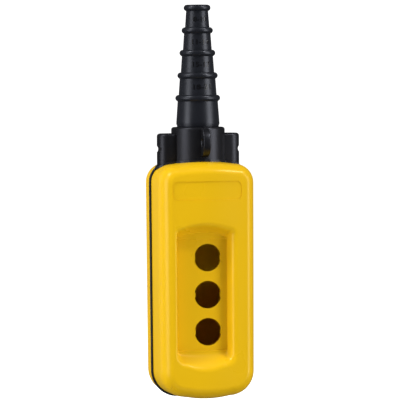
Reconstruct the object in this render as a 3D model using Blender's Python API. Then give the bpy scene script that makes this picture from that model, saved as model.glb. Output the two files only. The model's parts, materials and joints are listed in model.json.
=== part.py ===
"""Pendant control station: a hand-held, two-shell plastic enclosure that hangs by its cable.

Units are metres and +Z is up. X runs across the operator's panel, the panel faces -Y, and the
origin is the centre of the cable sleeve's top mouth, where the cable that carries it goes in.
Sizes below are written in millimetres and turned into metres by the constant MM.
"""
import math

import bmesh
import bpy
from mathutils import Vector

MM = 0.001

# ---- Overall sizes ---------------------------------------------------------------------------
SLEEVE_LENGTH = 99.2         # mouth of the sleeve down to the head's collar
HEAD_HEIGHT = 26.5           # collar top down to the top of the shells
BODY_HEIGHT = 193.0          # the two shells, top to bottom
BODY_WIDTH = 79.4            # the front shell, widest
FRONT_DEPTH = 36.5           # split plane to the edge of the operator's face
REAR_DEPTH = 26.0            # split plane to the flat back

# ---- Shells ----------------------------------------------------------------------------------
WALL = 2.8                   # shell wall
REAR_OVERHANG = 0.2          # how far the rear shell stands out past the front one, each side
SIDE_TAPER = 0.6             # each side comes in by this much towards the bottom
TOP_CORNER = 15.0            # corner radii of the outline
BOTTOM_CORNER = 20.5
TOP_CROWN = 2.0              # rise of the top and bottom edges in their middle
BOTTOM_CROWN = 2.0
FRONT_EDGE_WIDTH = 9.5       # front rounding: across the face, and along the side
FRONT_EDGE_DEPTH = 15.0
REAR_EDGE_WIDTH = 9.0
REAR_EDGE_DEPTH = 11.0
FACE_CROWN = 1.8             # the operator's face stands this much prouder along its middle

# ---- Recess and operators' panel -------------------------------------------------------------
HOLE_COUNT = 3
HOLE_DIAMETER = 22.3
HOLE_PITCH = 30.0
HOLE_OFFSET = 0.4            # the row of holes is this far right of the middle
FIRST_HOLE_DROP = 78.5       # top of the shells down to the first hole
KEY_HEIGHT = 4.0             # two anti-turn keys in each hole
KEY_REACH = 0.8
PANEL_END = 14.8             # panel beyond the first and the last hole's centres
PANEL_DEPTH = 9.5            # edge of the face down to the panel
RECESS_OFFSET = -4.7         # middle of the recess
RECESS_HALF_WIDTH = 21.4     # at its mouth, inside the rounded rim
RECESS_DRAFT = 1.0           # side walls come in by this much down to the panel
RECESS_RIM = 3.4             # radius of the rounded rim
RECESS_TOP_RUN = 7.7         # slope above the panel
RECESS_ARCH = 4.2            # rise of the recess's top edge
RECESS_ARCH_FADE = 0.35      # share of that rise lost down at the panel
RECESS_SCOOP = 12.2          # thumb scoop below the panel
RECESS_TOP_CORNER = 5.0
RECESS_BOTTOM_CORNER = 9.0
RECESS_FOOT_CORNER = 2.0     # corners of the flat panel itself
LABEL_WIDTH = 54.0           # blank label panel above the recess
LABEL_HEIGHT = 15.0
LABEL_DROP = 16.8
LABEL_SINK = 0.5
LABEL_CORNER = 3.0
LABEL_OFFSET = -1.8

# ---- Gasket and screws -----------------------------------------------------------------------
JOINT_GAP = 3.0              # shell edge to shell edge, filled by the gasket
CLEARANCE = 0.3              # between pieces that touch
GASKET_PROUD = 1.7           # bead past the front shell
GASKET_WIDTH = 4.2           # gasket inside the front shell's edge
GASKET_ROUND = 0.8           # how far the bead's rounding goes in
BOSS_RADIUS = 5.0
BOSS_INSET = 12.2            # screw axes in from the sides
BOSS_TOP_DROP = 19.0
BOSS_BOTTOM_RISE = 14.0
SCREW_RADIUS = 2.0
SCREW_HEAD_RADIUS = 3.6
SCREW_HEAD_HEIGHT = 2.6
SCREW_SLOT_WIDTH = 1.0
SCREW_SLOT_DEPTH = 1.2
SCREW_REACH = 9.0            # thread in the insert
SCREW_HEAD_CHAMFER = 0.5
SCREW_TIP_CHAMFER = 0.6
COUNTERBORE_DEPTH = 5.0
SEAL_THICKNESS = 1.0
INSERT_RADIUS = 3.1
INSERT_LENGTH = 10.0
RETAINER_RADIUS = 3.6
RETAINER_THICKNESS = 0.8
PILLAR_PLAY = 0.4            # between a retainer and the pillar above it

# ---- Head ------------------------------------------------------------------------------------
COLLAR_RADIUS = 21.8
COLLAR_EDGE = 2.0
WING_HALF_SPAN = 34.3
WING_HALF_DEPTH = 8.8
WING_DROP = 5.0              # wing tops below the collar top
WING_EDGE = 2.4
WING_FOOT = 0.5              # wings reach this far into the flange
NOTCH_RADIUS = 2.7
NOTCH_DROP = 12.8            # notch centre below the wing tops
NOTCH_SINK = 2.3
LUG_THICKNESS = 6.1
LUG_RADIUS = 12.2
LUG_REACH = 9.8              # lug tip past the collar
LUG_OFFSET = 0.0
LUG_EYE_RADIUS = 3.2
LUG_EYE_BACK = 6.2           # eye centre behind the lug's tip
LUG_ROOT = 4.0               # lug reaches this far into the collar
HEAD_FOOT = 8.6              # flange top below the shells' top
FLANGE_THICKNESS = 3.0
FLANGE_GROW = 2.6
FLANGE_HALF_SPAN = 28.0
FLANGE_CORNER = 12.0
FLANGE_GAP = 1.3             # flange to the shells' inside, front and back
HEAD_BORE_RADIUS = 17.0
LIP_THICKNESS = 3.0
SEAL_BAND = 1.4              # seal round the head where the shells close on it
SEAL_BAND_PROUD = 0.5        # band's top above the shells' top surface
SLEEVE_FLANGE = 3.0
RING_HEIGHT = 6.0
RING_WALL = 4.0

# ---- Sleeve ----------------------------------------------------------------------------------
BEAD_COUNT = 5
BEAD_PITCH = 18.3
FIRST_BEAD_DROP = 2.6
BEAD_RADIUS = 2.6            # half height of a bead
BEAD_TOP_RADIUS = 10.9       # outer radius of the first bead
BEAD_STEP = 1.83             # each bead is this much bigger
CONE_TOP_RADIUS = 8.8        # outer radius just under the first bead
CONE_STEP = 1.85
CONE_FLARE = 1.1             # growth of one section from its top to its bottom
BORE_TOP_RADIUS = 4.6
BORE_STEP = 1.7
BORE_RAMP = 1.5              # length of each step between two bores
FOOT_BORE_GROW = 1.0         # last bore is this much wider at the sleeve's foot

# ---- Cable clamp -----------------------------------------------------------------------------
CLAMP_HALF_WIDTH = 19.0
CLAMP_HEIGHT = 12.0
CLAMP_DROP = 6.0             # below the flange
CLAMP_BASE_DEPTH = 8.0
CLAMP_GROOVE_RADIUS = 9.0
CLAMP_SCREW_SPACING = 28.0
CLAMP_SCREW_RADIUS = 1.75
CLAMP_HEAD_RADIUS = 3.0
CLAMP_HEAD_HEIGHT = 2.2
CLAMP_SADDLE_DEPTH = 5.0
CLAMP_OPENING = 9.0          # between base and saddle when wide open
SADDLE_GROOVE_DEPTH = 3.0
NUT_RADIUS = 3.4
NUT_THICKNESS = 2.6

# ---- Levels worked out from the sizes above --------------------------------------------------
COLLAR_TOP = -SLEEVE_LENGTH
BODY_TOP = COLLAR_TOP - HEAD_HEIGHT
BODY_BOTTOM = BODY_TOP - BODY_HEIGHT
HALF_GAP = JOINT_GAP / 2
PANEL_Y = -(FRONT_DEPTH - PANEL_DEPTH)
FIRST_HOLE_Z = BODY_TOP - FIRST_HOLE_DROP
LAST_HOLE_Z = FIRST_HOLE_Z - (HOLE_COUNT - 1) * HOLE_PITCH
PANEL_TOP = FIRST_HOLE_Z + PANEL_END
PANEL_BOTTOM = LAST_HOLE_Z - PANEL_END
FLANGE_TOP = BODY_TOP - HEAD_FOOT
FLANGE_BOTTOM = FLANGE_TOP - FLANGE_THICKNESS
OPENING_GROW = 2 * CLEARANCE + SEAL_BAND
CLAMP_TOP = FLANGE_BOTTOM - CLAMP_DROP
CLAMP_BOTTOM = CLAMP_TOP - CLAMP_HEIGHT
CLAMP_BASE_Y = CLAMP_OPENING / 2

ROUND_STEPS = 24
SMALL_STEPS = 16
WING_STEPS = 10


# ---- Scene and materials ---------------------------------------------------------------------
def clear_scene():
    for thing in list(bpy.data.objects):
        bpy.data.objects.remove(thing, do_unlink=True)


def make_material(name, color, roughness, metallic=0.0):
    material = bpy.data.materials.new(name)
    material.use_nodes = True
    shader = material.node_tree.nodes["Principled BSDF"]
    shader.inputs["Base Color"].default_value = (*color, 1.0)
    shader.inputs["Roughness"].default_value = roughness
    shader.inputs["Metallic"].default_value = metallic
    return material


# ---- Mesh helpers: all take millimetres ------------------------------------------------------
def new_object(name, verts, faces, material=None):
    mesh = bpy.data.meshes.new(name)
    mesh.from_pydata([Vector(v) * MM for v in verts], [], faces)
    work = bmesh.new()
    work.from_mesh(mesh)
    bmesh.ops.remove_doubles(work, verts=work.verts, dist=0.005 * MM)
    bmesh.ops.recalc_face_normals(work, faces=work.faces)
    work.to_mesh(mesh)
    work.free()
    thing = bpy.data.objects.new(name, mesh)
    bpy.context.scene.collection.objects.link(thing)
    if material:
        mesh.materials.append(material)
    return thing


def loft(name, rings, closed=False, material=None):
    """Skin a list of rings that have equally many points; the ends are capped unless closed."""
    count = len(rings[0])
    verts = [point for ring in rings for point in ring]
    faces = []
    spans = len(rings) if closed else len(rings) - 1
    for i in range(spans):
        a = i * count
        b = ((i + 1) % len(rings)) * count
        for j in range(count):
            k = (j + 1) % count
            faces.append((a + j, a + k, b + k, b + j))
    if not closed:
        faces.append(tuple(range(count)))
        faces.append(tuple(range(len(verts) - count, len(verts))))
    return new_object(name, verts, faces, material)


def prism(name, outline, low, high, axis="Z", material=None):
    """Extrude a closed 2-D outline between two levels along an axis."""
    def place(point, level):
        u, v = point
        return {"Z": (u, v, level), "Y": (u, level, v), "X": (level, u, v)}[axis]
    rings = [[place(p, low) for p in outline], [place(p, high) for p in outline]]
    return loft(name, rings, material=material)


def turned(name, profile, centre, axis, steps, hollow=False, material=None):
    """Turn a profile of (radius, level) points about an axis through centre."""
    rings = []
    for i in range(steps):
        angle = 2 * math.pi * i / steps
        c, s = math.cos(angle), math.sin(angle)
        ring = []
        for radius, level in profile:
            local = {"Z": (radius * c, radius * s, level),
                     "Y": (radius * c, level, radius * s)}[axis]
            ring.append(Vector(local) + Vector(centre))
        rings.append(ring)
    if hollow:
        return loft(name, rings, closed=True, material=material)
    count = len(profile)
    verts = [point for ring in rings for point in ring]
    faces = []
    for i in range(steps):
        a = i * count
        b = ((i + 1) % steps) * count
        for j in range(count - 1):
            faces.append((a + j, a + j + 1, b + j + 1, b + j))
    faces.append(tuple(i * count for i in range(steps)))
    faces.append(tuple(i * count + count - 1 for i in range(steps)))
    return new_object(name, verts, faces, material)


def cylinder(name, radius, low, high, centre, axis="Y", steps=SMALL_STEPS, material=None):
    return turned(name, [(radius, low), (radius, high)], centre, axis, steps, material=material)


def ring_body(name, inner, outer, low, high, centre, axis, material, steps=SMALL_STEPS):
    profile = [(inner, low), (outer, low), (outer, high), (inner, high)]
    return turned(name, profile, centre, axis, steps, hollow=True, material=material)


def box(name, low, high):
    outline = [(low[0], low[1]), (high[0], low[1]), (high[0], high[1]), (low[0], high[1])]
    return prism(name, outline, low[2], high[2])


def combine(target, tool, operation):
    """Apply one exact Boolean to target and remove the tool."""
    modifier = target.modifiers.new("cut", "BOOLEAN")
    modifier.operation = operation
    modifier.solver = "EXACT"
    modifier.object = tool
    bpy.context.view_layer.update()
    result = target.evaluated_get(bpy.context.evaluated_depsgraph_get())
    mesh = bpy.data.meshes.new_from_object(result)
    target.modifiers.clear()
    target.data = mesh
    bpy.data.objects.remove(tool, do_unlink=True)


def cut(target, *tools):
    for tool in tools:
        combine(target, tool, "DIFFERENCE")


def join(target, *tools):
    for tool in tools:
        combine(target, tool, "UNION")


def finish(thing, material):
    """Clean what the Booleans leave, set the material and smooth shading."""
    mesh = thing.data
    mesh.materials.clear()
    mesh.materials.append(material)
    work = bmesh.new()
    work.from_mesh(mesh)
    for face in work.faces:
        face.material_index = 0
    bmesh.ops.dissolve_degenerate(work, edges=work.edges, dist=0.004 * MM)
    bmesh.ops.remove_doubles(work, verts=work.verts, dist=0.004 * MM)
    bmesh.ops.triangulate(work, faces=work.faces)
    work.to_mesh(mesh)
    work.free()
    mesh.shade_smooth()
    mesh.set_sharp_from_angle(angle=math.radians(35))
    return thing


# ---- Outlines --------------------------------------------------------------------------------
def corner_curve(start, corner, end, steps):
    """Rounded corner from start to end whose tangents meet at corner."""
    points = []
    reach = 0.5523
    a = Vector(start)
    d = Vector(end)
    b = a + (Vector(corner) - a) * reach
    c = d + (Vector(corner) - d) * reach
    for i in range(steps):
        t = i / steps
        s = 1 - t
        point = a * s ** 3 + b * 3 * s * s * t + c * 3 * s * t * t + d * t ** 3
        points.append((point.x, point.y))
    return points


def edge_points(start, end, rise, steps):
    """Points from start to end along a shallow arch; rise is signed along the second axis."""
    points = []
    for i in range(steps):
        t = i / steps
        u = start[0] + (end[0] - start[0]) * t
        v = start[1] + (end[1] - start[1]) * t + rise * 4 * t * (1 - t)
        points.append((u, v))
    return points


def rounded_outline(left, right, top, bottom, top_r, bottom_r, top_crown=0.0, bottom_crown=0.0,
                    taper=0.0, corner_steps=5, edge_steps=6, side_steps=3):
    """Closed outline, clockwise from the top left, with arched top and bottom edges.

    top and bottom are the levels of the arches' middles; every outline made with the same
    steps has the same number of points in the same order, so outlines can be lofted.
    """
    top_side = top - top_crown
    bottom_side = bottom + bottom_crown
    top_left = (left, top_side - top_r)
    top_right = (right, top_side - top_r)
    low_right = (right - taper, bottom_side + bottom_r)
    low_left = (left + taper, bottom_side + bottom_r)
    points = []
    points += corner_curve(top_left, (left, top_side), (left + top_r, top_side), corner_steps)
    points += edge_points((left + top_r, top_side), (right - top_r, top_side), top_crown,
                          edge_steps)
    points += corner_curve((right - top_r, top_side), (right, top_side), top_right, corner_steps)
    points += edge_points(top_right, low_right, 0.0, side_steps)
    points += corner_curve(low_right, (right - taper, bottom_side),
                           (right - taper - bottom_r, bottom_side), corner_steps)
    points += edge_points((right - taper - bottom_r, bottom_side),
                          (left + taper + bottom_r, bottom_side), -bottom_crown, edge_steps)
    points += corner_curve((left + taper + bottom_r, bottom_side), (left + taper, bottom_side),
                           low_left, corner_steps)
    points += edge_points(low_left, top_left, 0.0, side_steps)
    return points


def body_outline(inset, grow=0.0):
    """Outline of the shells in X and Z, moved in by inset or out by grow."""
    shift = inset - grow
    half = BODY_WIDTH / 2 - shift
    return rounded_outline(-half, half, BODY_TOP - shift, BODY_BOTTOM + shift,
                           max(TOP_CORNER - shift, 1.0), max(BOTTOM_CORNER - shift, 1.0),
                           TOP_CROWN, BOTTOM_CROWN, SIDE_TAPER)


def face_level(x):
    """Depth of the crowned operator's face at a distance x from the middle."""
    flat_half = BODY_WIDTH / 2 - FRONT_EDGE_WIDTH
    share = min(abs(x) / flat_half, 1.0)
    return FRONT_DEPTH + FACE_CROWN * (1 - share * share)


def recess_outline(depth, grow):
    """Outline of the recess at a share of its depth: 0 at the rim, 1 at the panel."""
    curve = 1 - math.sqrt(max(0.0, 1 - depth * depth))
    half = RECESS_HALF_WIDTH - RECESS_DRAFT * depth + grow
    top = PANEL_TOP + RECESS_TOP_RUN + RECESS_ARCH - RECESS_TOP_RUN * depth + grow
    bottom = PANEL_BOTTOM - RECESS_SCOOP * (1 - curve) - grow
    top_r = RECESS_TOP_CORNER + (RECESS_FOOT_CORNER - RECESS_TOP_CORNER) * depth + grow
    bottom_r = RECESS_BOTTOM_CORNER + (RECESS_FOOT_CORNER - RECESS_BOTTOM_CORNER) * depth + grow
    return rounded_outline(RECESS_OFFSET - half, RECESS_OFFSET + half, top, bottom,
                           top_r, bottom_r, RECESS_ARCH * (1 - RECESS_ARCH_FADE * depth), 0.0)


def front_skin(offset):
    """Rings of one skin of the front shell, from the split plane in to the panel."""
    rings = [[(x, -HALF_GAP, z) for x, z in body_outline(offset)]]
    flat = FRONT_DEPTH - FRONT_EDGE_DEPTH
    round_steps = 4
    for i in range(round_steps + 1):
        angle = math.pi / 2 * i / round_steps
        inset = FRONT_EDGE_WIDTH - (FRONT_EDGE_WIDTH - offset) * math.cos(angle)
        y = flat + (FRONT_EDGE_DEPTH - offset) * math.sin(angle)
        lift = math.sin(angle) ** 4
        ring = []
        for x, z in body_outline(inset):
            ring.append((x, -(y + (face_level(x) - FRONT_DEPTH) * lift), z))
        rings.append(ring)
    rim_steps = 3
    for i in range(rim_steps + 1):
        angle = math.pi / 2 * i / rim_steps
        grow = RECESS_RIM - (RECESS_RIM - offset) * math.sin(angle)
        drop = RECESS_RIM - (RECESS_RIM - offset) * math.cos(angle)
        fade = math.cos(angle)
        ring = []
        for x, z in recess_outline(0.0, grow):
            level = FRONT_DEPTH + (face_level(x) - FRONT_DEPTH) * fade
            ring.append((x, -(level - drop), z))
        rings.append(ring)
    wall_steps = 3
    for i in range(1, wall_steps + 1):
        share = i / wall_steps
        y = -(FRONT_DEPTH - RECESS_RIM) + (PANEL_DEPTH - RECESS_RIM + offset) * share
        rings.append([(x, y, z) for x, z in recess_outline(share, offset)])
    return rings


def rear_skin(offset):
    rings = [[(x, HALF_GAP, z) for x, z in body_outline(offset, REAR_OVERHANG)]]
    flat = REAR_DEPTH - REAR_EDGE_DEPTH
    round_steps = 4
    for i in range(round_steps + 1):
        angle = math.pi / 2 * i / round_steps
        inset = REAR_EDGE_WIDTH - (REAR_EDGE_WIDTH - offset) * math.cos(angle)
        y = flat + (REAR_EDGE_DEPTH - offset) * math.sin(angle)
        rings.append([(x, y, z) for x, z in body_outline(inset, REAR_OVERHANG)])
    return rings


def shell(name, skin):
    """A closed shell: outer skin, its floor, the inner skin's floor and the inner skin."""
    outer = skin(0.0)
    inner = skin(WALL)
    count = len(outer[0])
    rings = list(reversed(outer)) + inner
    verts = [point for ring in rings for point in ring]
    faces = []
    for i in range(len(rings) - 1):
        for j in range(count):
            k = (j + 1) % count
            faces.append((i * count + j, i * count + k, (i + 1) * count + k, (i + 1) * count + j))
    faces.append(tuple(range(count)))
    faces.append(tuple(range(len(verts) - count, len(verts))))
    return new_object(name, verts, faces)


def head_plan(grow):
    """Plan of the head in X and Y: a stadium across a disc, both grown by the same amount."""
    disc = COLLAR_RADIUS + grow
    half = WING_HALF_DEPTH + grow
    end = WING_HALF_SPAN - WING_HALF_DEPTH
    points = []
    disc_steps = 12
    for side in (1, -1):
        for i in range(WING_STEPS + 1):
            angle = -math.pi / 2 + math.pi * i / WING_STEPS
            points.append((side * (end + half * math.cos(angle)), side * half * math.sin(angle)))
        first = math.asin(half / disc)
        for i in range(disc_steps + 1):
            angle = first + (math.pi - 2 * first) * i / disc_steps
            points.append((side * disc * math.cos(angle), side * disc * math.sin(angle)))
    return points


# ---- Screw places ----------------------------------------------------------------------------
def screw_places():
    x = BODY_WIDTH / 2 - BOSS_INSET
    return [(-x, BODY_TOP - BOSS_TOP_DROP), (x, BODY_TOP - BOSS_TOP_DROP),
            (-x, BODY_BOTTOM + BOSS_BOTTOM_RISE), (x, BODY_BOTTOM + BOSS_BOTTOM_RISE)]


BOSS_END = HALF_GAP                      # front bosses end level with the shell's edge
PILLAR_END = -BOSS_END + CLEARANCE + RETAINER_THICKNESS + CLEARANCE + PILLAR_PLAY
SEAT_Y = REAR_DEPTH - COUNTERBORE_DEPTH  # floor of each counterbore
HEAD_SEAT_Y = SEAT_Y + 2 * CLEARANCE + SEAL_THICKNESS


def place(x, z):
    return (x, 0.0, z)


# ---- Front shell -----------------------------------------------------------------------------
def operator_hole(name, z, low, high):
    """Round cutter with two keys left standing in it."""
    radius = HOLE_DIAMETER / 2
    outline = []
    steps = 32
    key = math.asin(KEY_HEIGHT / 2 / radius)
    for side in (0, 1):
        start = side * math.pi
        outline.append((math.cos(start) * (radius - KEY_REACH),
                        (KEY_HEIGHT / 2) * (1 if side == 0 else -1)))
        for i in range(steps // 2 + 1):
            angle = start + key + (math.pi - 2 * key) * i / (steps // 2)
            outline.append((radius * math.cos(angle), radius * math.sin(angle)))
        outline.append((-math.cos(start) * (radius - KEY_REACH),
                        (KEY_HEIGHT / 2) * (1 if side == 0 else -1)))
    points = [(x + HOLE_OFFSET, v + z) for x, v in outline]
    return prism(name, points, low, high, axis="Y")


def make_front_shell(material):
    body = shell("front_shell", front_skin)
    for x, z in screw_places():
        boss = cylinder("boss", BOSS_RADIUS, -(FRONT_DEPTH - WALL), -BOSS_END, place(x, z))
        join(body, boss)
    for i in range(HOLE_COUNT):
        z = FIRST_HOLE_Z - i * HOLE_PITCH
        cut(body, operator_hole("hole", z, PANEL_Y - 2.0, PANEL_Y + WALL + 2.0))
    for x, z in screw_places():
        cut(body, cylinder("insert_bore", INSERT_RADIUS + CLEARANCE,
                           -(BOSS_END + INSERT_LENGTH + 2 * CLEARANCE), 1.0, place(x, z)))
    cut(body, prism("head_way", head_plan(OPENING_GROW), FLANGE_TOP - 1.0, BODY_TOP + 5.0))
    label_top = BODY_TOP - LABEL_DROP
    outline = rounded_outline(LABEL_OFFSET - LABEL_WIDTH / 2, LABEL_OFFSET + LABEL_WIDTH / 2,
                              label_top, label_top - LABEL_HEIGHT, LABEL_CORNER, LABEL_CORNER)
    rings = [[(x, -(face_level(x) - LABEL_SINK), z) for x, z in outline],
             [(x, -(face_level(x) + 2.0), z) for x, z in outline]]
    cut(body, loft("label_cut", rings))
    return finish(body, material)


def make_rear_shell(material):
    body = shell("rear_shell", rear_skin)
    for x, z in screw_places():
        join(body, cylinder("pillar", BOSS_RADIUS, PILLAR_END, REAR_DEPTH - WALL / 2,
                            place(x, z)))
    for x, z in screw_places():
        cut(body, cylinder("counterbore", SCREW_HEAD_RADIUS + CLEARANCE, SEAT_Y,
                           REAR_DEPTH + 1.0, place(x, z)))
        cut(body, cylinder("screw_way", SCREW_RADIUS + CLEARANCE, PILLAR_END - 1.0,
                           SEAT_Y + 1.0, place(x, z)))
    cut(body, prism("head_way", head_plan(OPENING_GROW), FLANGE_TOP - 1.0,
                    BODY_TOP + REAR_OVERHANG + 5.0))
    return finish(body, material)


def make_gasket(material):
    """Ring between the shells' edges with a bead that stands out; the head breaks it."""
    half = HALF_GAP - CLEARANCE
    outer = body_outline(-GASKET_PROUD)
    lip = body_outline(GASKET_ROUND - GASKET_PROUD)
    inner = body_outline(GASKET_WIDTH)
    rings = [[(x, -half, z) for x, z in inner],
             [(x, -half, z) for x, z in lip],
             [(x, -half / 3, z) for x, z in outer],
             [(x, half / 3, z) for x, z in outer],
             [(x, half, z) for x, z in lip],
             [(x, half, z) for x, z in inner]]
    body = loft("shell_gasket", rings, closed=True)
    low = FLANGE_TOP - 1.0
    cut(body, prism("head_way", head_plan(OPENING_GROW), low, BODY_TOP + 5.0))
    for x, z in screw_places():
        cut(body, cylinder("boss_way", BOSS_RADIUS + CLEARANCE, -5.0, 5.0, place(x, z)))
    return finish(body, material)


# ---- Head ------------------------------------------------------------------------------------
def make_head(material):
    collar_profile = [(0.01, FLANGE_BOTTOM), (COLLAR_RADIUS, FLANGE_BOTTOM),
                      (COLLAR_RADIUS, COLLAR_TOP - COLLAR_EDGE),
                      (COLLAR_RADIUS - COLLAR_EDGE * 0.3, COLLAR_TOP - COLLAR_EDGE * 0.3),
                      (COLLAR_RADIUS - COLLAR_EDGE, COLLAR_TOP), (0.01, COLLAR_TOP)]
    body = turned("cable_head", collar_profile, (0, 0, 0), "Z", 40)
    join(body, make_wings(), make_lug())
    flange = rounded_outline(-FLANGE_HALF_SPAN, FLANGE_HALF_SPAN,
                             COLLAR_RADIUS + OPENING_GROW + FLANGE_GROW,
                             -(COLLAR_RADIUS + OPENING_GROW + FLANGE_GROW),
                             FLANGE_CORNER, FLANGE_CORNER)
    back = REAR_DEPTH - WALL - FLANGE_GAP
    front = -(FRONT_DEPTH - WALL - FLANGE_GAP)
    flange = [(x, max(min(y, back), front)) for x, y in flange]
    join(body, prism("flange", flange, FLANGE_BOTTOM, FLANGE_TOP))
    base = box("clamp_base", (-CLAMP_HALF_WIDTH, CLAMP_BASE_Y, CLAMP_BOTTOM),
               (CLAMP_HALF_WIDTH, CLAMP_BASE_Y + CLAMP_BASE_DEPTH, FLANGE_BOTTOM + 1.0))
    join(body, base)
    bore_top = COLLAR_TOP - LIP_THICKNESS
    cut(body, cylinder("bore", HEAD_BORE_RADIUS + CLEARANCE, FLANGE_BOTTOM - 1.0, 0.0,
                       (0, 0, 0), "Z", 32))
    seat = HEAD_BORE_RADIUS + SLEEVE_FLANGE * 0.5 + CLEARANCE
    depth = SLEEVE_FLANGE + RING_HEIGHT + 3 * CLEARANCE
    cut(body, cylinder("sleeve_seat", seat, bore_top - depth, bore_top, (0, 0, 0), "Z", 32))
    cut(body, cylinder("cable_groove", CLAMP_GROOVE_RADIUS, CLAMP_BOTTOM - 1.0,
                       FLANGE_BOTTOM + 0.5, (0, 0, 0), "Z", 24))
    for x in (-CLAMP_SCREW_SPACING / 2, CLAMP_SCREW_SPACING / 2):
        centre = (x, 0.0, (CLAMP_TOP + CLAMP_BOTTOM) / 2)
        cut(body, cylinder("clamp_way", CLAMP_SCREW_RADIUS + CLEARANCE, 0.0, 30.0, centre))
        pocket = CLAMP_BASE_Y + CLAMP_BASE_DEPTH - NUT_THICKNESS - CLEARANCE
        cut(body, cylinder("nut_pocket", NUT_RADIUS + CLEARANCE, pocket, 30.0, centre, steps=6))
    return finish(body, material)


def make_wings():
    """Stadium block across the collar with rounded top edges and a groove in each end."""
    end = WING_HALF_SPAN - WING_HALF_DEPTH
    top = COLLAR_TOP - WING_DROP
    rings = []
    levels = [(0.0, FLANGE_TOP - WING_FOOT), (0.0, top - WING_EDGE),
              (WING_EDGE * 0.3, top - WING_EDGE * 0.3), (WING_EDGE, top)]
    for inset, z in levels:
        ring = []
        half = WING_HALF_DEPTH - inset
        for side in (1, -1):
            for i in range(WING_STEPS + 1):
                angle = -math.pi / 2 + math.pi * i / WING_STEPS
                x = side * (end + half * math.cos(angle))
                ring.append((x, side * half * math.sin(angle), z))
        rings.append(ring)
    wings = loft("wings", rings)
    for side in (1, -1):
        centre = (side * (WING_HALF_SPAN + NOTCH_RADIUS - NOTCH_SINK), 0.0, top - NOTCH_DROP)
        cut(wings, cylinder("notch", NOTCH_RADIUS, -20.0, 20.0, centre, steps=14))
    return wings


def make_lug():
    """D-shaped suspension plate on the collar's front, with its eye across X."""
    tip = -(COLLAR_RADIUS + LUG_REACH)
    centre_y = tip + LUG_RADIUS
    centre_z = COLLAR_TOP - LUG_RADIUS
    root = -(COLLAR_RADIUS - LUG_ROOT)
    points = [(root, centre_z + LUG_RADIUS)]
    steps = 12
    for i in range(steps + 1):
        angle = math.pi / 2 + math.pi * i / steps
        points.append((centre_y + LUG_RADIUS * math.cos(angle),
                       centre_z + LUG_RADIUS * math.sin(angle)))
    points.append((root, centre_z - LUG_RADIUS))
    half = LUG_THICKNESS / 2
    lug = prism("lug", points, LUG_OFFSET - half, LUG_OFFSET + half, axis="X")
    eye = []
    eye_steps = 16
    for i in range(eye_steps):
        angle = 2 * math.pi * i / eye_steps
        eye.append((tip + LUG_EYE_BACK + LUG_EYE_RADIUS * math.cos(angle),
                    centre_z + LUG_EYE_RADIUS * math.sin(angle)))
    cut(lug, prism("eye", eye, LUG_OFFSET - half - 1.0, LUG_OFFSET + half + 1.0, axis="X"))
    return lug


def shell_top(x):
    """Level of the shells' top edge at a distance x from the middle."""
    straight = BODY_WIDTH / 2 - TOP_CORNER
    side = abs(x) - straight
    if side <= 0:
        return BODY_TOP - TOP_CROWN * (x / straight) ** 2
    drop = TOP_CORNER - math.sqrt(TOP_CORNER ** 2 - min(side, TOP_CORNER) ** 2)
    return BODY_TOP - TOP_CROWN - drop


def make_head_seal(material):
    """Band that closes the gap between the head and the two shells and follows their top."""
    low = FLANGE_TOP + CLEARANCE
    inner = head_plan(CLEARANCE)
    outer = head_plan(CLEARANCE + SEAL_BAND)
    rings = [[(x, y, low) for x, y in inner], [(x, y, low) for x, y in outer],
             [(x, y, shell_top(x) + SEAL_BAND_PROUD) for x, y in outer],
             [(x, y, shell_top(x) + SEAL_BAND_PROUD) for x, y in inner]]
    return finish(loft("head_seal", rings, closed=True), material)


# ---- Sleeve ----------------------------------------------------------------------------------
def sleeve_profile():
    """Closed (radius, level) profile: the beaded cone outside and the stepped bore inside."""
    outer = []
    bead_steps = 6
    for i in range(BEAD_COUNT):
        centre = -(FIRST_BEAD_DROP + i * BEAD_PITCH)
        crest = BEAD_TOP_RADIUS + i * BEAD_STEP - BEAD_RADIUS
        start = 0 if i else 1
        for k in range(start, bead_steps + 1):
            angle = math.pi / 2 - math.pi * k / bead_steps
            outer.append((crest + BEAD_RADIUS * math.cos(angle),
                          centre + BEAD_RADIUS * math.sin(angle)))
        foot = CONE_TOP_RADIUS + i * CONE_STEP
        if i < BEAD_COUNT - 1:
            outer.append((foot + CONE_FLARE, centre - BEAD_PITCH + BEAD_RADIUS))
    outer[0] = (BEAD_TOP_RADIUS - BEAD_RADIUS * 0.6, 0.0)
    neck = HEAD_BORE_RADIUS
    bead_out = COLLAR_TOP - LIP_THICKNESS - CLEARANCE
    outer.append((neck, COLLAR_TOP + 1.0))
    outer.append((neck, bead_out))
    outer.append((neck + SLEEVE_FLANGE * 0.5, bead_out))
    outer.append((neck + SLEEVE_FLANGE * 0.5, bead_out - SLEEVE_FLANGE))
    inner = [(BORE_TOP_RADIUS, 0.0)]
    for i in range(BEAD_COUNT - 1):
        level = -(FIRST_BEAD_DROP + (i + 1) * BEAD_PITCH) + BEAD_RADIUS
        radius = BORE_TOP_RADIUS + i * BORE_STEP
        inner.append((radius, level))
        inner.append((radius + BORE_STEP, level - BORE_RAMP))
    foot_bore = BORE_TOP_RADIUS + (BEAD_COUNT - 1) * BORE_STEP + FOOT_BORE_GROW
    inner.append((foot_bore, bead_out - SLEEVE_FLANGE))
    return outer + list(reversed(inner))


def make_sleeve(material):
    body = turned("cable_sleeve", sleeve_profile(), (0, 0, 0), "Z", ROUND_STEPS, hollow=True)
    return finish(body, material)


def make_sleeve_ring(material):
    high = COLLAR_TOP - LIP_THICKNESS - SLEEVE_FLANGE - 2 * CLEARANCE
    outer = HEAD_BORE_RADIUS + SLEEVE_FLANGE * 0.5
    body = ring_body("sleeve_clamp_ring", outer - RING_WALL, outer, high - RING_HEIGHT, high,
                     (0, 0, 0), "Z", material, ROUND_STEPS)
    return finish(body, material)


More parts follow.
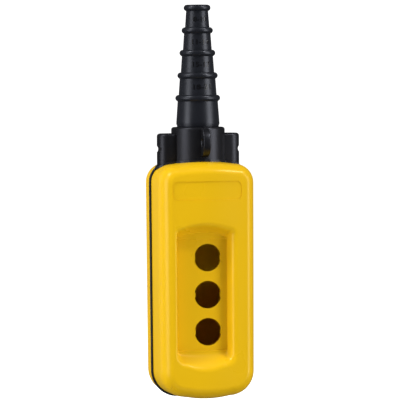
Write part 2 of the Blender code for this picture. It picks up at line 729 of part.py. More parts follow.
# ---- Cable clamp -----------------------------------------------------------------------------
def clamp_screw_centre(index):
    side = -1 if index == 1 else 1
    return (side * CLAMP_SCREW_SPACING / 2, 0.0, (CLAMP_TOP + CLAMP_BOTTOM) / 2)


SADDLE_BACK = -CLAMP_OPENING / 2
SADDLE_FRONT = SADDLE_BACK - CLAMP_SADDLE_DEPTH


def make_saddle(material):
    body = box("clamp_saddle", (-CLAMP_HALF_WIDTH, SADDLE_FRONT, CLAMP_BOTTOM),
               (CLAMP_HALF_WIDTH, SADDLE_BACK, CLAMP_TOP))
    cut(body, cylinder("cable_groove", CLAMP_GROOVE_RADIUS, CLAMP_BOTTOM - 1.0, CLAMP_TOP + 1.0,
                       (0.0, SADDLE_BACK + CLAMP_GROOVE_RADIUS - SADDLE_GROOVE_DEPTH, 0.0), "Z", 24))
    for index in (1, 2):
        cut(body, cylinder("screw_way", CLAMP_SCREW_RADIUS + CLEARANCE, SADDLE_FRONT - 1.0,
                           SADDLE_BACK + 1.0, clamp_screw_centre(index)))
    return finish(body, material)


def slotted_screw(name, centre, head, shank, under, tip, material):
    """Pan-head screw along Y; head and shank are (radius, length from under) pairs."""
    head_radius, head_end = head
    direction = 1 if head_end > under else -1
    profile = [(head_radius - SCREW_HEAD_CHAMFER, head_end),
               (head_radius, head_end - SCREW_HEAD_CHAMFER * direction),
               (head_radius, under), (shank, under),
               (shank, tip + SCREW_TIP_CHAMFER * direction), (shank - SCREW_TIP_CHAMFER, tip)]
    body = turned(name, profile, centre, "Y", SMALL_STEPS)
    slot_low = min(head_end - SCREW_SLOT_DEPTH * direction, head_end + direction)
    slot_high = max(head_end - SCREW_SLOT_DEPTH * direction, head_end + direction)
    half = SCREW_SLOT_WIDTH / 2
    cut(body, box("slot", (centre[0] - head_radius - 1.0, slot_low, centre[2] - half),
                  (centre[0] + head_radius + 1.0, slot_high, centre[2] + half)))
    return finish(body, material)


def make_clamp_screw(index, material):
    under = SADDLE_FRONT - CLEARANCE
    tip = CLAMP_BASE_Y + CLAMP_BASE_DEPTH + 1.0
    return slotted_screw(f"clamp_screw_{index}", clamp_screw_centre(index),
                         (CLAMP_HEAD_RADIUS, under - CLAMP_HEAD_HEIGHT), CLAMP_SCREW_RADIUS,
                         under, tip, material)


def make_clamp_nut(index, material):
    low = CLAMP_BASE_Y + CLAMP_BASE_DEPTH - NUT_THICKNESS
    body = ring_body(f"clamp_nut_{index}", CLAMP_SCREW_RADIUS + CLEARANCE, NUT_RADIUS, low,
                     low + NUT_THICKNESS, clamp_screw_centre(index), "Y", material, 6)
    return finish(body, material)


# ---- Cover screws ----------------------------------------------------------------------------
def make_cover_fixings(index, x, z, steel, brass, rubber, plastic):
    centre = place(x, z)
    tip = -(BOSS_END + SCREW_REACH)
    slotted_screw(f"cover_screw_{index}", centre,
                  (SCREW_HEAD_RADIUS, HEAD_SEAT_Y + SCREW_HEAD_HEIGHT), SCREW_RADIUS,
                  HEAD_SEAT_Y, tip, steel)
    seal = ring_body(f"screw_seal_{index}", SCREW_RADIUS + CLEARANCE, SCREW_HEAD_RADIUS,
                     SEAT_Y + CLEARANCE, SEAT_Y + CLEARANCE + SEAL_THICKNESS, centre, "Y", rubber)
    finish(seal, rubber)
    low = -BOSS_END + CLEARANCE
    retainer = ring_body(f"screw_retainer_{index}", SCREW_RADIUS + CLEARANCE, RETAINER_RADIUS,
                         low, low + RETAINER_THICKNESS, centre, "Y", plastic)
    finish(retainer, plastic)
    insert = ring_body(f"threaded_insert_{index}", SCREW_RADIUS + CLEARANCE, INSERT_RADIUS,
                       -(BOSS_END + INSERT_LENGTH), -BOSS_END, centre, "Y", brass)
    finish(insert, brass)


def build():
    clear_scene()
    yellow = make_material("yellow_plastic", (0.82, 0.47, 0.01), 0.38)
    black = make_material("black_plastic", (0.02, 0.02, 0.023), 0.45)
    rubber = make_material("black_rubber", (0.018, 0.018, 0.02), 0.6)
    steel = make_material("zinc_steel", (0.62, 0.62, 0.6), 0.35, 1.0)
    brass = make_material("brass", (0.72, 0.5, 0.2), 0.35, 1.0)
    make_front_shell(yellow)
    make_rear_shell(yellow)
    make_gasket(rubber)
    make_head(black)
    make_head_seal(rubber)
    make_sleeve(rubber)
    make_sleeve_ring(black)
    make_saddle(black)
    for index in (1, 2):
        make_clamp_screw(index, steel)
        make_clamp_nut(index, steel)
    for index, (x, z) in enumerate(screw_places(), start=1):
        make_cover_fixings(index, x, z, steel, brass, rubber, black)


build()
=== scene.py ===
"""Looks of the pendant control station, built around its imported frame.

Lengths are written in millimetres and turned into metres by MM. X runs across the operator's
panel, which faces -Y; the origin is the centre of the sleeve's top mouth and +Z is up.
"""
import json
import math

import bmesh
import bpy
from mathutils import Matrix, Vector


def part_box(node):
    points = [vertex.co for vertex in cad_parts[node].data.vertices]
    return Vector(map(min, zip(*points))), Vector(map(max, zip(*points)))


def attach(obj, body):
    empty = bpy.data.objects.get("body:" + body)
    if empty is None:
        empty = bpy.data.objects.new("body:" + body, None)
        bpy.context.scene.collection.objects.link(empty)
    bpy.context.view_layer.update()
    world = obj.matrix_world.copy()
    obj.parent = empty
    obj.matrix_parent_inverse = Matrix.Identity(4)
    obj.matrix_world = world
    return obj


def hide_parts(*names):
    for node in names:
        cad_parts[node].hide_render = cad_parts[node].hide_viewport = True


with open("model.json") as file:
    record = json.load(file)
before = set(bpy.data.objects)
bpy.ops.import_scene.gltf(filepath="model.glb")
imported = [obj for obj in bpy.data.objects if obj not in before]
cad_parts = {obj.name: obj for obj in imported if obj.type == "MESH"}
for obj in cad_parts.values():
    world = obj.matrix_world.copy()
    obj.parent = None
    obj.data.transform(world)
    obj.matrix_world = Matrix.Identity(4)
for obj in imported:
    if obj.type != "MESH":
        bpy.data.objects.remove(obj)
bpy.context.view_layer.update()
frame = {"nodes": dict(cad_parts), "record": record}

MM = 0.001

# ---- Camera ----------------------------------------------------------------------------------
VIEW_AZIMUTH = -14.5
VIEW_ELEVATION = 2.5
VIEW_ROLL = 0.4
VIEW_DISTANCE = 2500.0
FRAME_WIDTH = 325.8          # what the picture spans at the object's axis
VIEW_CENTRE = (1.34, 0.0, -158.8)
SENSOR = 36.0

# ---- Sizes read from the frame ---------------------------------------------------------------
OPENINGS = {o["name"]: o["box_m"] for o in frame["record"]["physics"]["openings"]}


def middle(name, axis):
    """Middle of an opening along one axis, in millimetres."""
    low, high = OPENINGS[name]
    return (low[axis] + high[axis]) / 2 / MM


def span(node):
    """A node's box in millimetres: its low and its high corner."""
    low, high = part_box(node)
    return low / MM, high / MM


HOLES = sorted(name for name in OPENINGS if name.startswith("operator_hole"))
HOLE_X = middle(HOLES[0], 0)
HOLE_LEVELS = [middle(name, 2) for name in HOLES]
FRONT_LOW, FRONT_HIGH = span("front_shell")
REAR_HIGH = span("rear_shell")[1]
HEAD_LOW, HEAD_HIGH = span("cable_head")
SEAL_LOW = span("head_seal")[0]

BODY_HALF = FRONT_HIGH.x
REAR_OVERHANG = REAR_HIGH.x - BODY_HALF
BODY_BOTTOM = FRONT_LOW.z
BODY_TOP = REAR_HIGH.z - REAR_OVERHANG
FACE_CROWN = 1.8
FACE_DEPTH = -FRONT_LOW.y - FACE_CROWN
REAR_DEPTH = REAR_HIGH.y
HALF_GAP = 1.5               # half of the joint between the shells
CLEARANCE = 0.3              # between pieces that fit together
PAST = 3.0                   # cutters run this far past what they cut
NEAR_AXIS = 0.01             # turned bodies start this close to their axis
OVERLAP = 1.0                # bodies that meet reach this far into each other

# ---- Shells ----------------------------------------------------------------------------------
WALL = 2.8
SIDE_TAPER = 0.6
TOP_CORNER = 15.0
BOTTOM_CORNER = 20.5
TOP_CROWN = 2.0
BOTTOM_CROWN = 2.0
FRONT_EDGE = (9.3, 15.0)     # rounding: across the face, along the side
REAR_EDGE = (9.0, 11.0)
HOLE_RADIUS = 11.15
KEY_HALF = 2.0
KEY_REACH = 0.8
PANEL_DEPTH = 9.5
PANEL_END = 14.8
PANEL_SINK = 0.7             # the flat panel lies this much below the recess floor round it
PANEL_DRAFT = 0.35
PANEL_CORNER = 0.8
PANEL_UNDERCUT = 0.6         # the panel runs this far under the walls' foot
PANEL_CUTTER_RISE = 0.6      # and its cutter stands this much above the floor
RECESS_X = -4.7
FOOT_HALF = 20.4            # recess floor, half its width
FOOT_ARCH = 3.0
FOOT_ABOVE_PANEL = 5.1       # floor above the panel, at the arch's middle
FOOT_BELOW_PANEL = 0.6
FOOT_TOP_CORNER = 1.6
FOOT_BOTTOM_CORNER = 1.5
RIM_TOP_CORNER = 5.5
RIM_BOTTOM_CORNER = 11.0
# rim radius, foot radius and slope of the recess's walls
LEFT_WALL = (2.0, 0.6, 78.0)
RIGHT_WALL = (6.0, 0.4, 68.0)
TOP_WALL = (5.6, 1.4, 56.0)
BOTTOM_WALL = (8.0, 8.0, 38.0)
RIM_BOTTOM_ARCH = 3.5
RIM_TOP_ARCH = 1.0           # what the rim's arch adds to the foot's
WALL_STEPS = (9, 4, 9)       # rim, slope, foot
LABEL_X = -2.0
LABEL_SIZE = (57.2, 15.0)
LABEL_DROP = 15.4
LABEL_SINK = 0.45
LABEL_CORNER = 3.0

PANEL_TOP = HOLE_LEVELS[0] + PANEL_END
PANEL_BOTTOM = HOLE_LEVELS[-1] - PANEL_END
PANEL_Y = -(FACE_DEPTH - PANEL_DEPTH)


# ---- Mesh helpers ----------------------------------------------------------------------------
WELD = 0.002                 # points closer than this are one point
FINE_WELD = 0.003            # the same once a piece is finished
SMOOTH_BELOW = 32.0          # degrees: edges flatter than this are shaded smooth


def new_piece(name, verts, faces):
    mesh = bpy.data.meshes.new(name)
    mesh.from_pydata([Vector(v) * MM for v in verts], [], faces)
    work = bmesh.new()
    work.from_mesh(mesh)
    bmesh.ops.remove_doubles(work, verts=work.verts, dist=WELD * MM)
    bmesh.ops.recalc_face_normals(work, faces=work.faces)
    work.to_mesh(mesh)
    work.free()
    thing = bpy.data.objects.new(name, mesh)
    bpy.context.scene.collection.objects.link(thing)
    return thing


def loft(name, rings, closed=False, caps=(True, True)):
    count = len(rings[0])
    verts = [point for ring in rings for point in ring]
    faces = []
    spans = len(rings) if closed else len(rings) - 1
    for i in range(spans):
        a = i * count
        b = ((i + 1) % len(rings)) * count
        for j in range(count):
            k = (j + 1) % count
            faces.append((a + j, a + k, b + k, b + j))
    if not closed and caps[0]:
        faces.append(tuple(range(count)))
    if not closed and caps[1]:
        faces.append(tuple(range(len(verts) - count, len(verts))))
    return new_piece(name, verts, faces)


def prism(name, outline, low, high, axis="Z"):
    def place(point, level):
        u, v = point
        return {"Z": (u, v, level), "Y": (u, level, v), "X": (level, u, v)}[axis]
    return loft(name, [[place(p, low) for p in outline], [place(p, high) for p in outline]])


def turned(name, profile, centre=(0.0, 0.0, 0.0), axis="Z", steps=96, hollow=False):
    """Turn (radius, level) points; a hollow profile is closed, another runs axis to axis."""
    rings = []
    for i in range(steps):
        angle = 2 * math.pi * i / steps
        c, s = math.cos(angle), math.sin(angle)
        ring = []
        for radius, level in profile:
            local = {"Z": (radius * c, radius * s, level),
                     "Y": (radius * c, level, radius * s)}[axis]
            ring.append(Vector(local) + Vector(centre))
        rings.append(ring)
    if hollow:
        return loft(name, rings, closed=True)
    count = len(profile)
    verts = [point for ring in rings for point in ring]
    faces = []
    for i in range(steps):
        a = i * count
        b = ((i + 1) % steps) * count
        for j in range(count - 1):
            faces.append((a + j, a + j + 1, b + j + 1, b + j))
    faces.append(tuple(i * count for i in range(steps)))
    faces.append(tuple(i * count + count - 1 for i in range(steps)))
    return new_piece(name, verts, faces)


def cylinder(name, radius, low, high, centre, axis="Y", steps=48):
    return turned(name, [(radius, low), (radius, high)], centre, axis, steps)


def bake(thing):
    """Apply the piece's modifiers to its mesh."""
    bpy.context.view_layer.update()
    result = thing.evaluated_get(bpy.context.evaluated_depsgraph_get())
    mesh = bpy.data.meshes.new_from_object(result)
    thing.modifiers.clear()
    thing.data = mesh


def combine(target, tool, operation):
    modifier = target.modifiers.new("cut", "BOOLEAN")
    modifier.operation = operation
    modifier.solver = "EXACT"
    modifier.object = tool
    bake(target)
    bpy.data.objects.remove(tool, do_unlink=True)


def cut(target, *tools):
    for tool in tools:
        combine(target, tool, "DIFFERENCE")


def join(target, *tools):
    for tool in tools:
        combine(target, tool, "UNION")


def finish_piece(thing, material, body, slot, *nodes, sharp=SMOOTH_BELOW):
    """Give a piece its material and shading, the body it rides on and the nodes it stands for."""
    mesh = thing.data
    mesh.materials.clear()
    mesh.materials.append(material)
    work = bmesh.new()
    work.from_mesh(mesh)
    for face in work.faces:
        face.material_index = 0
    bmesh.ops.remove_doubles(work, verts=work.verts, dist=FINE_WELD * MM)
    work.to_mesh(mesh)
    work.free()
    mesh.shade_smooth()
    mesh.set_sharp_from_angle(angle=math.radians(sharp))
    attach(thing, body)
    if nodes:
        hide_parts(*nodes)
    return thing


# ---- Outlines --------------------------------------------------------------------------------
CORNER_STEPS = 14
EDGE_STEPS = 24
SIDE_STEPS = 40


def corner_curve(start, corner, end, steps):
    """Quarter round from start to end, as one cubic curve that hugs the corner."""
    points = []
    reach = 0.5523           # makes the curve as good as a circle's arc
    a, d = Vector(start), Vector(end)
    b = a + (Vector(corner) - a) * reach
    c = d + (Vector(corner) - d) * reach
    for i in range(steps):
        t = i / steps
        s = 1 - t
        point = a * s ** 3 + b * 3 * s * s * t + c * 3 * s * t * t + d * t ** 3
        points.append((point.x, point.y))
    return points


def edge_points(start, end, rise, steps):
    points = []
    for i in range(steps):
        t = i / steps
        u = start[0] + (end[0] - start[0]) * t
        v = start[1] + (end[1] - start[1]) * t + rise * 4 * t * (1 - t)
        points.append((u, v))
    return points


def rounded_outline(left, right, top, bottom, top_r, bottom_r, top_crown=0.0, bottom_crown=0.0,
                    taper=0.0, steps=(CORNER_STEPS, EDGE_STEPS, SIDE_STEPS)):
    """Closed outline from the top left corner, clockwise, with arched top and bottom edges."""
    corner, edge, side = steps
    top_side = top - top_crown
    bottom_side = bottom + bottom_crown
    top_left = (left, top_side - top_r)
    top_right = (right, top_side - top_r)
    low_right = (right - taper, bottom_side + bottom_r)
    low_left = (left + taper, bottom_side + bottom_r)
    a = (left + top_r, top_side)
    b = (right - top_r, top_side)
    c = (right - taper - bottom_r, bottom_side)
    d = (left + taper + bottom_r, bottom_side)
    points = corner_curve(top_left, (left, top_side), a, corner)
    points += edge_points(a, b, top_crown, edge)
    points += corner_curve(b, (right, top_side), top_right, corner)
    points += edge_points(top_right, low_right, 0.0, side)
    points += corner_curve(low_right, (right - taper, bottom_side), c, corner)
    points += edge_points(c, d, -bottom_crown, edge)
    points += corner_curve(d, (left + taper, bottom_side), low_left, corner)
    points += edge_points(low_left, top_left, 0.0, side)
    return points


def outline_weights():
    """How much each outline point belongs to the top and to the bottom edge."""
    def ramp(steps):
        return [0.5 - 0.5 * math.cos(math.pi * i / steps) for i in range(steps)]
    rise = ramp(CORNER_STEPS)
    fall = [1 - w for w in rise]
    none_corner = [0.0] * CORNER_STEPS
    none_edge = [0.0] * EDGE_STEPS
    none_side = [0.0] * SIDE_STEPS
    full = [1.0] * EDGE_STEPS
    top = rise + full + fall + none_side + none_corner + none_edge + none_corner + none_side
    bottom = (none_corner + none_edge + none_corner + none_side + rise + full + fall
              + none_side)
    return top, bottom


TOP_WEIGHT, BOTTOM_WEIGHT = outline_weights()


def body_outline(inset):
    half = BODY_HALF - inset
    return rounded_outline(-half, half, BODY_TOP - inset, BODY_BOTTOM + inset,
                           TOP_CORNER - inset, BOTTOM_CORNER - inset,
                           TOP_CROWN, BOTTOM_CROWN, SIDE_TAPER)


def face_level(x):
    share = min(abs(x) / (BODY_HALF - FRONT_EDGE[0]), 1.0)
    return FACE_DEPTH + FACE_CROWN * (1 - share * share) ** 2


def wall_profile(shape, depth):
    """(offset from the foot, depth below the face) from rim to foot: arc, slope, arc."""
    rim, foot, slope = shape
    slope = math.radians(slope)
    turn = 1 - math.cos(slope)
    straight = max((depth - (rim + foot) * turn) / math.sin(slope), 0.0)
    scale = depth / ((rim + foot) * turn + straight * math.sin(slope))
    width = (rim + foot) * math.sin(slope) + straight * math.cos(slope)
    points = []
    for i in range(WALL_STEPS[0]):
        angle = slope * i / WALL_STEPS[0]
        points.append((width - rim * math.sin(angle), rim * (1 - math.cos(angle))))
    start = (width - rim * math.sin(slope), rim * turn)
    for i in range(WALL_STEPS[1]):
        run = straight * i / WALL_STEPS[1]
        points.append((start[0] - run * math.cos(slope), start[1] + run * math.sin(slope)))
    start = (start[0] - straight * math.cos(slope), start[1] + straight * math.sin(slope))
    for i in range(WALL_STEPS[2] + 1):
        angle = slope * (1 - i / WALL_STEPS[2])
        points.append((start[0] - foot * (math.sin(slope) - math.sin(angle)),
                       start[1] + foot * (math.cos(angle) - math.cos(slope))))
    return [(offset, level * scale) for offset, level in points]


def recess_rings():
    """Rings from the recess's rim down to its floor, each wall with its own profile."""
    floor = PANEL_DEPTH - PANEL_SINK
    left = wall_profile(LEFT_WALL, floor)
    right = wall_profile(RIGHT_WALL, floor)
    top = wall_profile(TOP_WALL, floor)
    bottom = wall_profile(BOTTOM_WALL, floor)
    rings = []
    for at_left, at_right, at_top, at_bottom in zip(left, right, top, bottom):
        top_share = at_right[0] / right[0][0]
        top_corner = FOOT_TOP_CORNER + (RIM_TOP_CORNER - FOOT_TOP_CORNER) * top_share
        bottom_share = at_bottom[0] / bottom[0][0]
        bottom_corner = (FOOT_BOTTOM_CORNER
                         + (RIM_BOTTOM_CORNER - FOOT_BOTTOM_CORNER) * bottom_share)
        outline = rounded_outline(RECESS_X - FOOT_HALF - at_left[0],
                                  RECESS_X + FOOT_HALF + at_right[0],
                                  PANEL_TOP + FOOT_ABOVE_PANEL + at_top[0],
                                  PANEL_BOTTOM - FOOT_BELOW_PANEL - at_bottom[0],
                                  top_corner, bottom_corner,
                                  FOOT_ARCH + RIM_TOP_ARCH * at_top[0] / top[0][0],
                                  RIM_BOTTOM_ARCH * bottom_share)
        ring = []
        for (x, z), top_weight, bottom_weight in zip(outline, TOP_WEIGHT, BOTTOM_WEIGHT):
            side = at_right[1] if x > RECESS_X else at_left[1]
            depth = (side * (1 - top_weight - bottom_weight) + at_top[1] * top_weight
                     + at_bottom[1] * bottom_weight)
            fade = 1 - depth / floor
            level = FACE_DEPTH + (face_level(x) - FACE_DEPTH) * fade
            ring.append((x, -(level - depth), z))
        rings.append(ring)
    return rings


def front_skin():
    """Rings of the front shell's outside, from the split plane over the face into the recess."""
    rings = [[(x, -HALF_GAP, z) for x, z in body_outline(0.0)]]
    flat = FACE_DEPTH - FRONT_EDGE[1]
    steps = 14
    for i in range(steps + 1):
        angle = math.pi / 2 * i / steps
        inset = FRONT_EDGE[0] * (1 - math.cos(angle))
        y = flat + FRONT_EDGE[1] * math.sin(angle)
        lift = math.sin(angle) ** 3
        ring = []
        for x, z in body_outline(inset):
            ring.append((x, -(y + (face_level(x) - FACE_DEPTH) * lift), z))
        rings.append(ring)
    recess = recess_rings()
    plateau_steps = 12
    outer, inner = rings[-1], recess[0]
    for i in range(1, plateau_steps):
        t = i / plateau_steps
        ring = []
        for p, q in zip(outer, inner):
            x = p[0] + (q[0] - p[0]) * t
            z = p[2] + (q[2] - p[2]) * t
            ring.append((x, -face_level(x), z))
        rings.append(ring)
    return rings + recess


def rear_skin():
    """Rings of the rear shell's outside, from the split plane to its flat back."""
    rings = [[(x, HALF_GAP, z) for x, z in body_outline(-REAR_OVERHANG)]]
    flat = REAR_DEPTH - REAR_EDGE[1]
    steps = 12
    for i in range(steps + 1):
        angle = math.pi / 2 * i / steps
        inset = REAR_EDGE[0] * (1 - math.cos(angle)) - REAR_OVERHANG
        y = flat + REAR_EDGE[1] * math.sin(angle)
        rings.append([(x, y, z) for x, z in body_outline(inset)])
    rings.append([(x, REAR_DEPTH, z) for x, z in body_outline(REAR_EDGE[0] + 1.0)])
    return rings


def thicken(thing):
    """Give the one-sided skin its wall, inwards."""
    modifier = thing.modifiers.new("wall", "SOLIDIFY")
    modifier.thickness = WALL * MM
    modifier.offset = -1.0
    modifier.use_even_offset = False
    modifier.use_rim = True
    bake(thing)


def operator_hole(level):
    """Cutter for one round hole with its two anti-turn keys."""
    reach = HOLE_RADIUS - KEY_REACH
    steps = 36
    key = math.asin(KEY_HALF / HOLE_RADIUS)
    outline = []
    for side in (1, -1):
        outline.append((side * reach, side * KEY_HALF))
        for i in range(steps + 1):
            angle = key + (math.pi - 2 * key) * i / steps
            outline.append((side * HOLE_RADIUS * math.cos(angle),
                            side * HOLE_RADIUS * math.sin(angle)))
        outline.append((-side * reach, side * KEY_HALF))
    points = [(x + HOLE_X, z + level) for x, z in outline]
    return prism("hole", points, PANEL_Y - PAST, PANEL_Y + WALL + PAST, axis="Y")


def head_plan():
    """Plan of the shells' opening for the head: a stadium across a disc, with play all round."""
    disc = COLLAR_RADIUS + OPENING_GROW
    half = WING_HALF_DEPTH + OPENING_GROW
    end = WING_HALF_SPAN - WING_HALF_DEPTH
    wing_steps, disc_steps = 16, 32
    points = []
    for side in (1, -1):
        for i in range(wing_steps + 1):
            angle = -math.pi / 2 + math.pi * i / wing_steps
            points.append((side * (end + half * math.cos(angle)), side * half * math.sin(angle)))
        first = math.asin(half / disc)
        for i in range(disc_steps + 1):
            angle = first + (math.pi - 2 * first) * i / disc_steps
            points.append((side * disc * math.cos(angle), side * disc * math.sin(angle)))
    return points


def head_way(top):
    """Cutter for the head's opening, up through a shell or the gasket."""
    return prism("head_way", head_plan(), FLANGE_TOP - OPENING_SINK, top + PAST)


# ---- Head and sleeve sizes -------------------------------------------------------------------
COLLAR_RADIUS = 21.8
COLLAR_EDGE = 2.0            # radius of its top edge
WING_HALF_SPAN = HEAD_HIGH.x
WING_HALF_DEPTH = 8.8
WING_DROP = 5.0              # wing tops below the collar's
WING_EDGE = 2.4
WING_FOOT = 0.5              # wings reach this far into the flange
NOTCH_RADIUS = 2.7
NOTCH_DROP = 12.8            # notch centre below the wing tops
NOTCH_SINK = 2.3             # depth of the notch in the wing's end
COLLAR_TOP = HEAD_HIGH.z
FLANGE_TOP = SEAL_LOW.z - CLEARANCE
FLANGE_THICKNESS = 3.0
FLANGE_BOTTOM = FLANGE_TOP - FLANGE_THICKNESS
FLANGE_GROW = 2.6            # flange past the shells' opening
FLANGE_HALF_SPAN = 28.0
FLANGE_CORNER = 12.0
FLANGE_GAP = 1.3             # flange to the rear shell's inside
OPENING_GROW = 2.0           # shells' opening past the head
OPENING_SINK = 1.0           # and below the flange's top
NECK_RADIUS = 17.0           # sleeve's neck, which passes through the head's bore
BORE_SINK = 1.0              # the bore's cutter starts this far below the flange
LIP_THICKNESS = 3.0          # collar's lip over the sleeve's foot
SEAT_RADIUS = 18.8           # room for the sleeve's foot and its ring
SEAT_DEPTH = 9.9
LUG_THICKNESS = 6.1
LUG_RADIUS = 12.2
LUG_EDGE = 1.0               # rounding of the plate's edges
LUG_ROOT = 4.0               # plate reaches this far into the collar
LUG_REACH = -HEAD_LOW.y - COLLAR_RADIUS
LUG_X = middle("suspension_eye", 0)
LUG_EYE_RADIUS = 3.2
LUG_EYE_CHAMFER = 0.7
LUG_EYE = (middle("suspension_eye", 1), middle("suspension_eye", 2))
CLAMP_HALF_WIDTH = 19.0
CLAMP_BASE_Y = 4.5
CLAMP_BACK = 12.5
CLAMP_GROOVE_RADIUS = 9.0
CLAMP_WAY_RADIUS = 2.05
NUT_POCKET_RADIUS = 3.7
NUT_POCKET_Y = 9.6

# ---- Screws and gasket -----------------------------------------------------------------------
BOSS_RADIUS = 5.0
INSERT_BORE_RADIUS = 3.4
INSERT_BORE_DEPTH = 10.6
COUNTERBORE_RADIUS = 3.9
COUNTERBORE_CHAMFER = 0.6
SCREW_WAY_RADIUS = 2.3
SEAT_LEVEL = span("screw_seal_1")[0].y - CLEARANCE
PILLAR_END = 0.4             # where the rear shell's pillars end, behind the split plane
GASKET_WIDTH = 4.2           # gasket inside the shells' edge
GASKET_ROOT = 0.2            # its bead starts this far past that edge
GASKET_ROUND = 0.8           # how far the bead's rounding goes in


def screw_places():
    """Axes (x, z) of the four cover screws."""
    places = []
    for index in (1, 2, 3, 4):
        low, high = span(f"cover_screw_{index}")
        centre = (low + high) / 2
        places.append((centre.x, centre.z))
    return places


# ---- Materials -------------------------------------------------------------------------------
def new_material(name):
    material = bpy.data.materials.new(name)
    material.use_nodes = True
    return material, material.node_tree, material.node_tree.nodes["Principled BSDF"]


def noise(tree, scale, detail):
    """Noise in the piece's own coordinates."""
    place = tree.nodes.new("ShaderNodeTexCoord")
    texture = tree.nodes.new("ShaderNodeTexNoise")
    texture.inputs["Scale"].default_value = scale
    texture.inputs["Detail"].default_value = detail
    tree.links.new(place.outputs["Object"], texture.inputs["Vector"])
    return texture.outputs["Fac"]


def vary_color(tree, shader, factor, color, other):
    tint = tree.nodes.new("ShaderNodeMix")
    tint.data_type = "RGBA"
    tint.inputs["A"].default_value = (*color, 1.0)
    tint.inputs["B"].default_value = (*other, 1.0)
    tree.links.new(factor, tint.inputs["Factor"])
    tree.links.new(tint.outputs["Result"], shader.inputs["Base Color"])


def vary_roughness(tree, shader, factor, low, high, start=0.0, end=1.0):
    """Roughness from low to high while the factor runs from start to end."""
    spread = tree.nodes.new("ShaderNodeMapRange")
    spread.inputs["From Min"].default_value = start
    spread.inputs["From Max"].default_value = end
    spread.inputs["To Min"].default_value = low
    spread.inputs["To Max"].default_value = high
    tree.links.new(factor, spread.inputs["Value"])
    tree.links.new(spread.outputs["Result"], shader.inputs["Roughness"])


def roughen(tree, shader, factor, strength, height):
    bump = tree.nodes.new("ShaderNodeBump")
    bump.inputs["Strength"].default_value = strength
    bump.inputs["Distance"].default_value = height * MM
    tree.links.new(factor, bump.inputs["Height"])
    tree.links.new(bump.outputs["Normal"], shader.inputs["Normal"])


def plastic(name, color, dark, roughness, grain, grain_height, specular=0.5,
            sheen=(1.0, 1.0, 1.0)):
    """Moulded plastic: fine grain, faint flow blotches in colour and gloss."""
    material, tree, shader = new_material(name)
    cloud = noise(tree, scale=25.0, detail=4.0)
    vary_color(tree, shader, cloud, color, dark)
    spread = 0.04
    vary_roughness(tree, shader, cloud, roughness - spread, roughness + spread,
                   start=0.3, end=0.7)
    fine = noise(tree, scale=grain, detail=3.0)
    roughen(tree, shader, fine, strength=0.35, height=grain_height)
    shader.inputs["Specular IOR Level"].default_value = specular
    shader.inputs["Specular Tint"].default_value = (*sheen, 1.0)
    return material


def metal(name, color, roughness):
    """Machined or plated metal with fine turning marks and a little dulling."""
    material, tree, shader = new_material(name)
    marks = noise(tree, scale=900.0, detail=2.0)
    vary_roughness(tree, shader, marks, roughness - 0.1, roughness + 0.15)
    dulled = [channel * 0.75 for channel in color]
    vary_color(tree, shader, noise(tree, scale=180.0, detail=2.0), color, dulled)
    roughen(tree, shader, marks, strength=0.2, height=0.02)
    shader.inputs["Metallic"].default_value = 1.0
    return material


YELLOW = plastic("yellow_polypropylene", (0.85, 0.51, 0.007), (0.82, 0.485, 0.006), 0.30,
                 1400.0, 0.04, specular=0.46, sheen=(1.0, 0.82, 0.42))
BLACK = plastic("black_plastic", (0.005, 0.005, 0.006), (0.004, 0.004, 0.005), 0.40, 1100.0,
                0.07, specular=0.42, sheen=(0.84, 0.86, 1.0))
RUBBER = plastic("black_elastomer", (0.010, 0.011, 0.015), (0.007, 0.008, 0.011), 0.36,
                 1000.0, 0.07, specular=0.46, sheen=(0.86, 0.89, 1.0))
# Numerals: polished, so less rough than the sleeve, and their base colour is darker than the
# sleeve's rubber as painted shade
POLISHED_PAINTED_SHADE = plastic("polished_elastomer_painted_shade", (0.004, 0.004, 0.005), (0.003, 0.003, 0.004), 0.22,
                   900.0, 0.02)
ZINC = metal("zinc_plated_steel", (0.66, 0.66, 0.63), 0.32)
BRASS = metal("turned_brass", (0.72, 0.52, 0.22), 0.3)


# ---- Front shell -----------------------------------------------------------------------------
def make_front_shell():
    body = loft("front_shell_fine", front_skin(), caps=(False, True))
    thicken(body)
    for x, z in screw_places():
        centre = (x, 0.0, z)
        join(body, cylinder("boss", BOSS_RADIUS, -(FACE_DEPTH - WALL), -HALF_GAP, centre))
        cut(body, cylinder("bore", INSERT_BORE_RADIUS, -(HALF_GAP + INSERT_BORE_DEPTH), 1.0,
                           centre))
    cut(body, panel_cutter())
    for level in HOLE_LEVELS:
        cut(body, operator_hole(level))
    cut(body, head_way(BODY_TOP), label_cutter())
    finish_piece(body, YELLOW, "front_assembly", "yellow_plastic", "front_shell")


def panel_cutter():
    """Cutter with drafted sides that sinks the flat panel into the recess floor."""
    rings = []
    for grow, rise in ((0.0, 0.0), (PANEL_DRAFT, PANEL_SINK),
                       (PANEL_DRAFT, PANEL_SINK + PANEL_CUTTER_RISE)):
        half = FOOT_HALF + PANEL_UNDERCUT + grow
        outline = rounded_outline(RECESS_X - half, RECESS_X + half, PANEL_TOP + grow,
                                  PANEL_BOTTOM - grow, PANEL_CORNER, PANEL_CORNER,
                                  steps=(4, 16, 32))
        rings.append([(x, PANEL_Y - rise, z) for x, z in outline])
    return loft("panel_sink", rings)


def label_cutter():
    """Cutter for the label panel; its floor follows the crowned face in strips across it."""
    width, height = LABEL_SIZE
    left = LABEL_X - width / 2
    top = BODY_TOP - LABEL_DROP
    columns = 24
    stop = 0.1               # the corners' arcs end this far short of the label's ends
    rings = []
    for i in range(columns + 1):
        run = width * i / columns
        reach = max(LABEL_CORNER - min(run, width - run), 0.0)
        pinch = LABEL_CORNER - math.sqrt(max(LABEL_CORNER ** 2 - reach ** 2, stop ** 2))
        x = left + run
        floor = -(face_level(x) - LABEL_SINK)
        high, low = top - pinch, top - height + pinch
        rings.append([(x, floor, high), (x, floor, low), (x, floor - PAST, low),
                      (x, floor - PAST, high)])
    return loft("label", rings)


